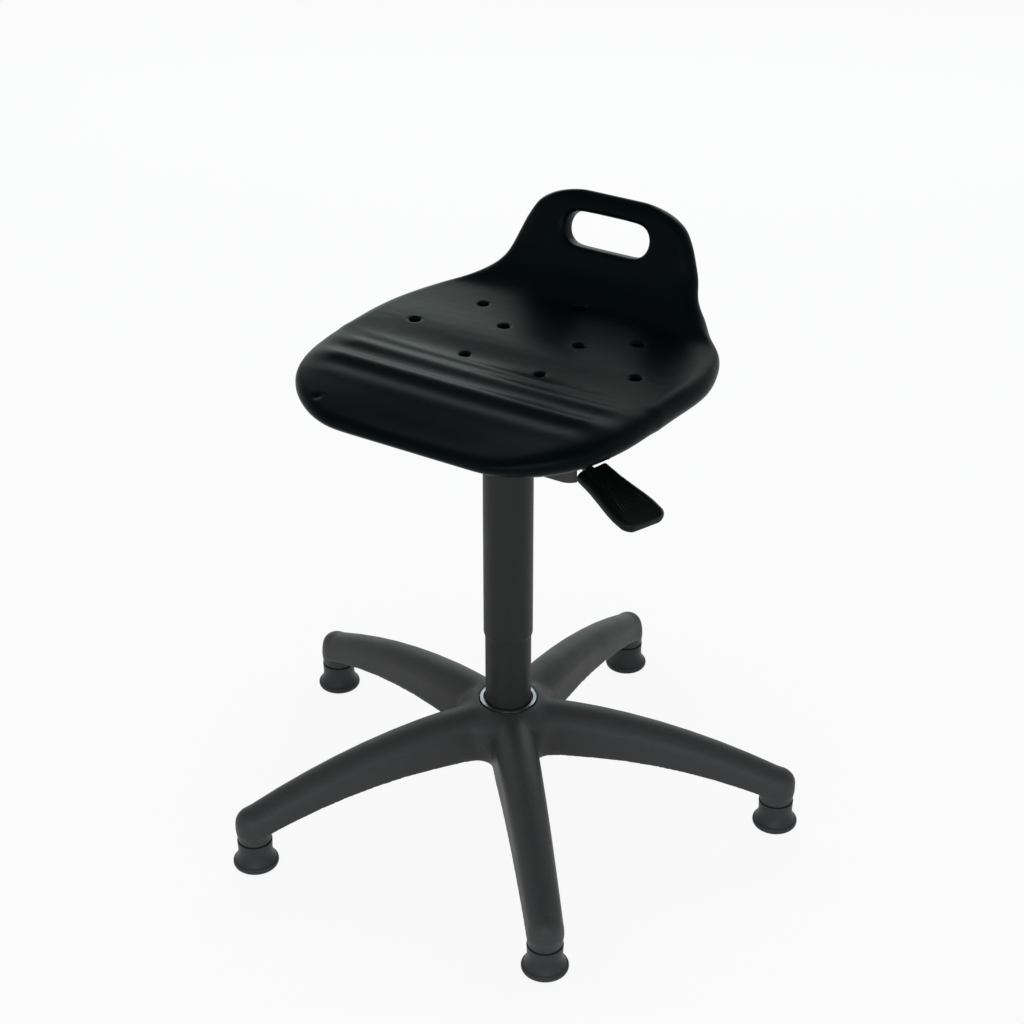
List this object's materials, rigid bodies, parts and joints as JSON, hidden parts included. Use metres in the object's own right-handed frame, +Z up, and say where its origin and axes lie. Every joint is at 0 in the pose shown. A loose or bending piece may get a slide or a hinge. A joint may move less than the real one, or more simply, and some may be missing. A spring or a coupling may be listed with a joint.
{
  "type": "swivel stool",
  "caption": "Height-adjustable swivel work stool: moulded seat with a carry-handle slot and vent holes, release lever, gas column and star base on glides.",
  "frame": {"origin": "floor level on the column's axis", "axes": "+Z up along the column, -Y the way the sitter faces, +X the lever side"},
  "size_m": [0.6186, 0.6011, 0.6452],
  "materials": {
    "base_nylon": "finely grained charcoal moulding",
    "glide_plastic": "satin charcoal plastic",
    "column_paint": "fine satin charcoal powder coat",
    "cover_plastic": "satin charcoal tube",
    "seat_foam": "satin black integral-skin polyurethane",
    "lever_plastic": "satin black plastic",
    "black_steel": "black powder coat",
    "zinc_steel": "bright zinc plate",
    "bare_steel": "ground steel",
    "bush_plastic": "natural plastic",
    "buffer_rubber": "black rubber",
    "core_wood": "plywood"
  },
  "bodies": {
    "base": {"star_base": "base_nylon", "hub_sleeve": "zinc_steel", "column_tube": "column_paint", "guide_bush": "bush_plastic", "bearing_lower_washer": "bare_steel"},
    "spindle": {"piston_rod": "bare_steel", "piston": "bush_plastic", "bearing_cage": "bare_steel", "bearing_upper_washer": "bare_steel", "rubber_buffer": "buffer_rubber", "rod_washer": "zinc_steel", "rod_clip": "zinc_steel"},
    "seat": {"gas_cylinder": "black_steel", "rod_guide": "bush_plastic", "cover_tube": "cover_plastic", "taper_socket": "black_steel", "lever_channel": "black_steel", "lever_pivot_pin": "zinc_steel", "seat_plate": "black_steel", "seat_screws": "zinc_steel", "seat_inserts": "zinc_steel", "seat_core": "core_wood", "seat_shell": "seat_foam"},
    "lever": {"lever_rod": "black_steel", "lever_handle": "lever_plastic"},
    "valve_pin": {"release_pin": "zinc_steel"},
    "glide_1": {"glide_foot_1": "glide_plastic", "glide_stem_1": "zinc_steel"},
    "glide_2": {"glide_foot_2": "glide_plastic", "glide_stem_2": "zinc_steel"},
    "glide_3": {"glide_foot_3": "glide_plastic", "glide_stem_3": "zinc_steel"},
    "glide_4": {"glide_foot_4": "glide_plastic", "glide_stem_4": "zinc_steel"},
    "glide_5": {"glide_foot_5": "glide_plastic", "glide_stem_5": "zinc_steel"}
  },
  "joints": [
    {"name": "seat_swivel", "type": "hinge", "parent": "base", "child": "spindle", "pos_m": [0, 0, 0.06], "axis": [0, 0, 1], "continuous": true},
    {"name": "seat_height", "type": "slide", "parent": "spindle", "child": "seat", "axis": [0, 0, 1], "range_m": [-0.065, 0.065]},
    {"name": "lever_lift", "type": "hinge", "parent": "seat", "child": "lever", "pos_m": [0.02987, -0.01147, 0.4863], "axis": [-0.3584, -0.9336, 0], "range_deg": [0, 5], "stiffness_Nm_per_rad": 4, "springref_deg": -5.73},
    {"name": "valve_press", "type": "slide", "parent": "seat", "child": "valve_pin", "axis": [0, 0, -1], "range_m": [0, 0.003]},
    {"name": "glide_1_swivel", "type": "hinge", "parent": "base", "child": "glide_1", "pos_m": [0.19042, -0.23182, 0.02], "axis": [0, 0, 1], "continuous": true},
    {"name": "glide_2_swivel", "type": "hinge", "parent": "base", "child": "glide_2", "pos_m": [0.27932, 0.10946, 0.02], "axis": [0, 0, 1], "continuous": true},
    {"name": "glide_3_swivel", "type": "hinge", "parent": "base", "child": "glide_3", "pos_m": [-0.01779, 0.29947, 0.02], "axis": [0, 0, 1], "continuous": true},
    {"name": "glide_4_swivel", "type": "hinge", "parent": "base", "child": "glide_4", "pos_m": [-0.29031, 0.07562, 0.02], "axis": [0, 0, 1], "continuous": true},
    {"name": "glide_5_swivel", "type": "hinge", "parent": "base", "child": "glide_5", "pos_m": [-0.16163, -0.25274, 0.02], "axis": [0, 0, 1], "continuous": true}
  ],
  "couplings": [
    {"joint": "valve_press", "follows": "lever_lift", "m_per_rad": 0.032}
  ]
}
